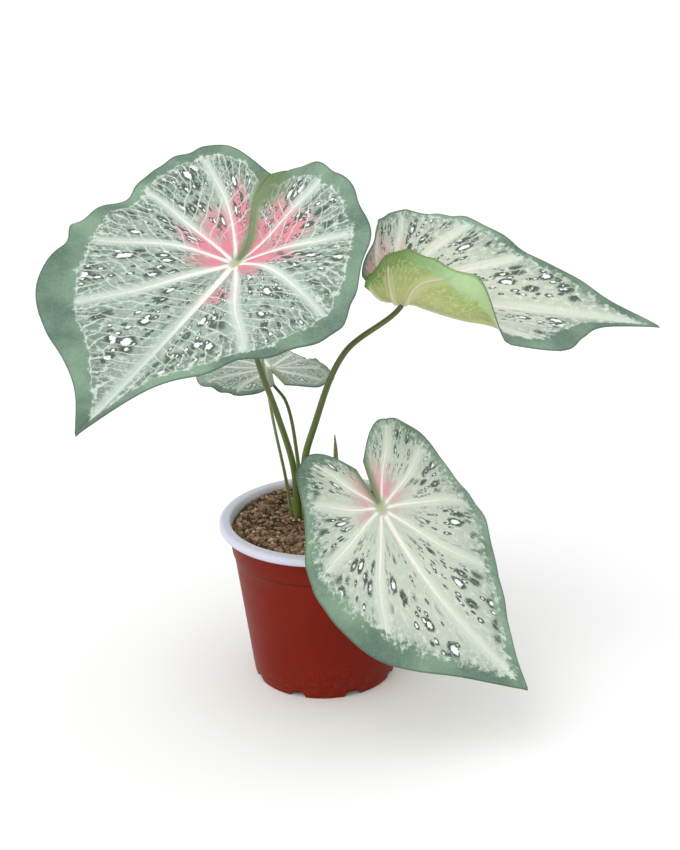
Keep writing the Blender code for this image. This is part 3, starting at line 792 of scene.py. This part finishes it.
# %% Make the stalks
stalks = {}
for name, stalk in STALKS.items():
    leaf = LEAVES[name]
    normal = leaf_turn(leaf)[:, 2]
    top = np.array(leaf["knot"]) - normal * RIB_DEPTH * 0.6
    neck = np.array(leaf["knot"]) - normal * (RIB_DEPTH + 0.0007 + stalk["neck"])
    path, at, lengths = smooth_path(stalk["foot"], [*stalk["route"], tuple(neck), tuple(top)])
    radii = np.interp(at, (0, lengths[-1]), stalk["radius"])
    swell, reach = KNOT_SWELLING
    radii = radii * (1 + swell * np.exp(-(lengths[-1] - at) / reach))
    swell, middle, reach = SHEATH_SWELLING
    sheath = 1 + swell * np.exp(-((at - middle) / reach) ** 2)
    radii = np.concatenate([[radii[0]] * 3, radii * sheath])
    stalks[name] = tube("stalk_%s_tube" % name, path, radii)
    print("stalk %-5s %.0f mm above the soil" % (name, 1000 * lengths[-1]))

# %% [markdown]
# ## Young leaves
# A new leaf comes up rolled into a tight spindle round itself, with the free
# edge showing as a fine spiral line. So its tube swells, comes to a point, and
# carries a small step that winds up it.

# %% Make the young leaves
YOUNG_LEAVES = {
    "young_leaf_tall": {
        "foot": (-0.0180, 0.0125), "wrap_from": 0.72,
        "route": ((-0.0198, 0.0115, 0.114), (-0.0261, 0.006, 0.156), (-0.0304, -0.0015, 0.195),
                  (-0.0331, -0.007, 0.222), (-0.0341, -0.009, 0.236)),
        "radii": (0.0011, 0.0010, 0.0009, 0.0009, 0.0021, 0.0003),
    },
    "young_leaf_short": {
        "foot": (0.0093, 0.0), "wrap_from": 0.15,
        "route": ((0.0093, 0.0, 0.120), (0.0094, 0.0, 0.138), (0.0092, 0.0, 0.1496)),
        "radii": (0.0016, 0.0016, 0.0013, 0.0003),
    },
}
WRAP_STEP = 0.16


def rolled_edge(wrap_from):
    """A radius that grows once round and drops at the free edge, winding up."""
    def lobes(turns, share):
        wound = (turns / (2 * pi) + 2.2 * share) % 1
        return 1 + WRAP_STEP * smooth_share((share - wrap_from) / 0.08) * (wound - 0.5)
    return lobes


for name, young in YOUNG_LEAVES.items():
    path, at, lengths = smooth_path(young["foot"], young["route"])
    radii = through_points(lengths, young["radii"], at)
    radii = np.concatenate([[radii[0]] * 3, radii])
    stalks[name] = tube(name + "_roll", path, radii, rolled_edge(young["wrap_from"]))

# %% [markdown]
# ## Stalk skin
# The stalks are smooth and fleshy: olive green, browner toward the top, and
# paler where the sheath wraps the foot. Fine streaks run along them. The
# streaks are noise that is stretched along the stored length of the stalk.

# %% Stalk material
def stalk_material(name, foot, middle, top, streak):
    """A fleshy green skin in three colours up the stalk, with paler streaks."""
    made, add, here = start_material(name, 0.4, 1.45)
    height = add("Attribute", attribute_name="height_mm", output="Fac")
    around = add("Attribute", attribute_name="around", output="Fac")
    low = add(SMOOTH, height, 112.0, 92.0)
    high = add(SMOOTH, height, 130.0, 215.0)
    colour = add(MIX, high, middle, top)
    colour = add(MIX, low, colour, foot)
    lie = add("CombineXYZ", add(TIMES, around, 22.0), add("Math DIVIDE", height, 14.0))
    streaks = add("TexNoise", lie, 1.0, 3.0)
    seen = add("MapRange", streaks, 0.45, 0.75, 0.0, 0.55)
    colour = add(MIX, seen, colour, streak)
    blotch = add("TexNoise", here, 400.0, 2.0)
    shade = add("MapRange", blotch, 0.35, 0.65, 0.0, 0.25)
    colour = add(MIX, shade, colour, middle)
    rough = add("MapRange", streaks, 0.0, 1.0, 0.3, 0.5)
    relief = add("Bump", Strength=0.4, Distance=0.0002, Height=streaks)
    return finish_material(made, colour, rough, relief)


stalk_skin = stalk_material("fleshy stalk skin", "#7D8B45", "#5B6A2C", "#50542F", "#8A9552")
young_skin = stalk_material("rolled young leaf skin", "#7D8B45", "#62742F", "#A9BF93", "#C6D2AE")
for name, piece in stalks.items():
    if name in YOUNG_LEAVES:
        hand_over(piece, name, "stalk", young_skin)
    else:
        hand_over(piece, "stalk_" + name, "stalk", stalk_skin)

# %% [markdown]
# ## The pot
# The pot is moulded in two plastics: a brick-red outside, and a pale inside
# that rolls over the rim. A turned shape comes from spinning its half section
# once round the axis. Boolean cutters then open the drain notches at the foot,
# and are removed again.

# %% Pot shape
POT_RIM_RADIUS = 0.060
POT_HEIGHT = 0.099
POT_BASE_RADIUS = 0.0422
POT_NECK_RADIUS = 0.0546
POT_WALL = 0.0012
POT_FLOOR = 0.0015
LIP_HEIGHT = 0.0055
BAND_HEIGHT = 0.0150
BAND_STEP = 0.0008
NOTCH_COUNT = 8
NOTCH_SIZE = (0.0084, 0.010, 0.010)
POT_STEPS = 144
LIP_LOW = POT_HEIGHT - LIP_HEIGHT


def outer_radius(height):
    return POT_BASE_RADIUS + (POT_NECK_RADIUS - POT_BASE_RADIUS) * height / LIP_LOW


def inner_radius(height):
    return outer_radius(height) - POT_WALL - BAND_STEP


def pot_section():
    """Half section: out along the base, up the wall, over the lip and down inside."""
    band_low = LIP_LOW - BAND_HEIGHT
    section = [(0, 0), (POT_BASE_RADIUS - 0.0012, 0), (POT_BASE_RADIUS - 0.0004, 0.0003),
               (POT_BASE_RADIUS, 0.0012)]
    for height in np.linspace(0.008, band_low - 0.0004, 10):
        section.append((outer_radius(height) - BAND_STEP * height / band_low, height))
    section += [(outer_radius(band_low) - 0.0005, band_low + 0.0001),
                (outer_radius(band_low) - 0.0001, band_low + 0.0005)]
    for height in np.linspace(band_low + 0.0012, LIP_LOW, 4):
        section.append((outer_radius(height), height))
    reach = POT_RIM_RADIUS - outer_radius(LIP_LOW)
    for angle in np.linspace(-0.44 * pi, 0.5 * pi, 14):
        radius = POT_RIM_RADIUS - reach * (1 - cos(angle)) * 0.45
        section.append((radius, LIP_LOW + LIP_HEIGHT * (1 + sin(angle)) / 2))
    section += [(inner_radius(POT_HEIGHT) + 0.0010, POT_HEIGHT - 0.00005),
                (inner_radius(POT_HEIGHT) + 0.0004, POT_HEIGHT - 0.0003)]
    for height in np.linspace(POT_HEIGHT - 0.0012, POT_FLOOR + 0.0012, 10):
        section.append((inner_radius(height), height))
    return section + [(inner_radius(POT_FLOOR) - 0.0008, POT_FLOOR), (0, POT_FLOOR)]


def turned(name, section, steps):
    """Spin a half section round the Z axis into a closed shape."""
    lathe = bmesh.new()
    points = [lathe.verts.new((radius, 0, height)) for radius, height in section]
    edges = [lathe.edges.new(pair) for pair in zip(points, points[1:])]
    bmesh.ops.spin(lathe, geom=points + edges, cent=(0, 0, 0), axis=(0, 0, 1), angle=2 * pi,
                   steps=steps, use_merge=True)
    bmesh.ops.remove_doubles(lathe, verts=lathe.verts[:], dist=1e-5)
    bmesh.ops.recalc_face_normals(lathe, faces=lathe.faces[:])
    return to_object(name, lathe)


def cut_notches(target):
    """Open the drain notches where the wall meets the base."""
    cutters = []
    for number in range(NOTCH_COUNT):
        turn = 2 * pi * (number + 0.5) / NOTCH_COUNT
        tool = bmesh.new()
        bmesh.ops.create_cone(tool, cap_ends=True, segments=24, radius1=0.5, radius2=0.5, depth=1)
        place = Matrix.Rotation(turn, 4, "Z") @ Matrix.Translation((POT_BASE_RADIUS, 0, 0))
        shape = Matrix.Rotation(pi / 2, 4, "Y") @ Matrix.Diagonal((*NOTCH_SIZE, 1))
        bmesh.ops.transform(tool, matrix=place @ shape, verts=tool.verts[:])
        cutters.append(to_object("cutter", tool))
        cut = target.modifiers.new("notch", "BOOLEAN")
        cut.operation = "DIFFERENCE"
        cut.object = cutters[-1]
    bpy.context.view_layer.update()
    carved = target.evaluated_get(bpy.context.evaluated_depsgraph_get())
    carved = bpy.data.meshes.new_from_object(carved)
    target.modifiers.clear()
    target.data = carved
    for cutter in cutters:
        bpy.data.objects.remove(cutter)


pot = turned("nursery_pot", pot_section(), POT_STEPS)
cut_notches(pot)
pot.data.shade_smooth()
pot.data.set_sharp_from_angle(angle=radians(40))
print("pot: %d faces" % len(pot.data.polygons))

# %% [markdown]
# ## Pot plastics
# Both are injection-moulded polypropylene, which is waxy rather than glossy.
# The red outside has the soft haze of a light mould texture and a trace of
# dust toward the foot; a dark line at the band's step is painted shade. The
# pale lining is stained where it meets the soil.

# %% Pot materials
red_plastic, add, here = start_material("brick red moulded polypropylene", 0.42, 1.49, 0.12)
place = add("SeparateXYZ", here, output="Z")
cloud = add("TexNoise", here, 35.0, 3.0)
colour = add(MIX, cloud, "#801C08", "#6A1202")
# Dark line at the band's step: painted shade beneath the band, not dirt
from_step = add("Math ABSOLUTE", add("Math SUBTRACT", place, LIP_LOW - BAND_HEIGHT))
band_step_painted_shade = add(SMOOTH, from_step, 0.0013, 0.0002, 0.0, 0.75)
colour = add(MIX, band_step_painted_shade, colour, "#3E0E06")
dust = add("TexNoise", here, 420.0, 5.0, 0.7)
low = add("MapRange", place, 0.03, 0.0)
dusty = add(TIMES, add("MapRange", dust, 0.5, 0.8, 0.0, 0.2), low)
colour = add(MIX, dusty, colour, "#B08A78")
rough = add("MapRange", cloud, 0.0, 1.0, 0.36, 0.5)
texture = add("TexNoise", here, 2600.0, 2.0)
relief = add("Bump", Strength=0.12, Distance=0.0001, Height=texture)
finish_material(red_plastic, colour, rough, relief)

pale_plastic, add, here = start_material("pale moulded polypropylene", 0.38, 1.49)
place = add("SeparateXYZ", here, output="Z")
smear = add("TexNoise", here, 160.0, 4.0)
stain = add(TIMES, add(SMOOTH, place, 0.0975, 0.0915, 0.0, 0.9), smear)
tint = add(MIX, smear, "#DADAEA", "#CDCCE0")
colour = add(MIX, stain, tint, "#6B5344")
finish_material(pale_plastic, colour, add("MapRange", smear, 0.0, 1.0, 0.3, 0.48))

hand_over(pot, "pot", "pot", red_plastic, pale_plastic)
for face in pot.data.polygons:
    centre = face.center
    radius = sqrt(centre.x ** 2 + centre.y ** 2)
    on_lip = centre.z > LIP_LOW + 0.00005
    inside = POT_FLOOR * 0.7 < centre.z and radius < outer_radius(centre.z) - POT_WALL
    face.material_index = 1 if on_lip or inside else 0

# %% [markdown]
# ## Potting mix
# Potting mix is peat and composted bark with a little perlite. Its surface
# comes from one spun disc, pushed up and down by noise of two sizes. The loose
# bits on top are separate small pieces: crumbs of peat, flat chips of bark and
# a few white grains. Each has only a few faces, because there are hundreds.

# %% Soil surface
SOIL_STEPS = 132
SOIL_GAP = 0.0006
SOIL_FOOT = 0.0024


def soil_height(x, y):
    """Height of the mix: two sizes of clods, higher at the stems and at the back."""
    place = Vector((x, y, 0))
    clods = noise.noise(place * 110) * 0.0014 + noise.noise(place * 330) * 0.0008
    stems = Vector((-0.009, 0.006, 0))
    mound = 0.0016 * max(0, 1 - (place - stems).length / 0.03) ** 2
    edge = min(1, (inner_radius(SOIL_LEVEL) - place.length) / 0.004)
    slope = 0.0032 * float(smooth_share((y + 0.01) / 0.05))
    return SOIL_LEVEL + slope + (clods + mound) * max(edge, 0.2)


edge_radius = inner_radius(SOIL_LEVEL) - SOIL_GAP
section = [(radius, SOIL_LEVEL) for radius in np.linspace(0, edge_radius, 44)]
section += [(inner_radius(height) - SOIL_GAP, height) for height in (0.086, 0.05, 0.02, SOIL_FOOT)]
section += [(0, SOIL_FOOT)]
soil = turned("potting_mix", section, SOIL_STEPS)
for vert in soil.data.vertices:
    if vert.co.z > SOIL_LEVEL - 0.001:
        vert.co.z = soil_height(vert.co.x, vert.co.y)
soil.data.shade_smooth()
print("soil: %d faces" % len(soil.data.polygons))

# %% Loose bits
draw = random.Random(20)
MOST_TIP = 0.5   # radians


def scatter(name, count, sizes, flat, rough, shape):
    """Small pieces strewn over the mix, each turned and dented its own way."""
    pile = bmesh.new()
    for _ in range(count):
        radius = edge_radius * sqrt(draw.random()) * 0.985
        turn = draw.uniform(0, 2 * pi)
        size = draw.uniform(*sizes)
        x, y = radius * cos(turn), radius * sin(turn)
        stretch = Matrix.Diagonal((size * draw.uniform(0.8, 1.5), size, size * flat, 1))
        tip = Matrix.Rotation(draw.uniform(-MOST_TIP, MOST_TIP), 4, "X")
        tip = tip @ Matrix.Rotation(draw.uniform(-MOST_TIP, MOST_TIP), 4, "Y")
        spot = Matrix.Translation((x, y, soil_height(x, y) + size * flat * 0.35))
        matrix = spot @ Matrix.Rotation(draw.uniform(0, 2 * pi), 4, "Z") @ tip @ stretch
        if shape == "grain":
            made = bmesh.ops.create_icosphere(pile, subdivisions=1, radius=0.5, matrix=matrix)
        else:
            made = bmesh.ops.create_cube(pile, size=1, matrix=matrix)
        for vert in made["verts"]:
            vert.co += Vector([draw.uniform(-1, 1) for _ in range(3)]) * size * rough
    heap = to_object(name, pile)
    print("%s: %d pieces, %d faces" % (name, count, len(heap.data.polygons)))
    return heap


crumbs = scatter("peat_crumbs", 900, (0.0012, 0.0034), 0.7, 0.12, "grain")
chips = scatter("bark_chips", 320, (0.0018, 0.0044), 0.4, 0.10, "chip")
pale_bits = scatter("pale_bark_bits", 300, (0.0012, 0.0032), 0.55, 0.12, "grain")
grains = scatter("perlite_grains", 46, (0.0009, 0.0019), 0.8, 0.10, "grain")


# %% Soil materials
def earthy(name, colours, grain_mm, bump_mm):
    """A rough granular material between two colours, with a darker third painted in its hollows as
    shade.
    """
    made, add, here = start_material(name, 0.92, 1.4)
    big = add("TexNoise", here, 1000 / (4 * grain_mm), 4.0, 0.7)
    small = add("TexVoronoi", here, 1000 / grain_mm)
    lit = add(SMOOTH, big, 0.38, 0.62)
    colour = add(MIX, lit, *colours[:2])
    # The darker third colour in the sunken edges between grains is painted shade
    hollow_painted_shade = add("MapRange", small, 0.35, 0.9, 0.0, 0.7)
    colour = add(MIX, hollow_painted_shade, colour, colours[2])
    relief = add("Bump", Strength=0.9, Distance=bump_mm / 1000, Height=small, invert=True)
    return finish_material(made, colour, normal=relief)


peat = earthy("moist peat", ("#4A3628", "#6E543F", "#2A1C14"), 1.2, 0.6)
crumb_peat = earthy("crumbled peat and compost", ("#66503D", "#A1856B", "#35271C"), 0.8, 0.3)
bark = earthy("composted pine bark", ("#8A634A", "#BE9C84", "#4A3426"), 0.7, 0.2)
pale_bark = earthy("dry bark and husk", ("#C2A68C", "#E2CDB6", "#8E7058"), 0.7, 0.2)
perlite = earthy("expanded perlite", ("#D8D2C6", "#EFEBE2", "#A79C8C"), 0.5, 0.1)
hand_over(soil, "soil", "soil", peat)
for heap, substance in ((crumbs, crumb_peat), (chips, bark), (pale_bits, pale_bark),
                        (grains, perlite)):
    hand_over(heap, None, "soil", substance)

# %% [markdown]
# ## The tuber
# The tuber is sealed in the mix. It keeps its solid and gets the corky brown
# skin that such a tuber has.

# %% Tuber material
cork = earthy("corky tuber skin", ("#5E432C", "#7C5C3E", "#38261A"), 2.0, 0.4)
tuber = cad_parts["tuber"]
tuber.data.materials.clear()
tuber.data.materials.append(cork)
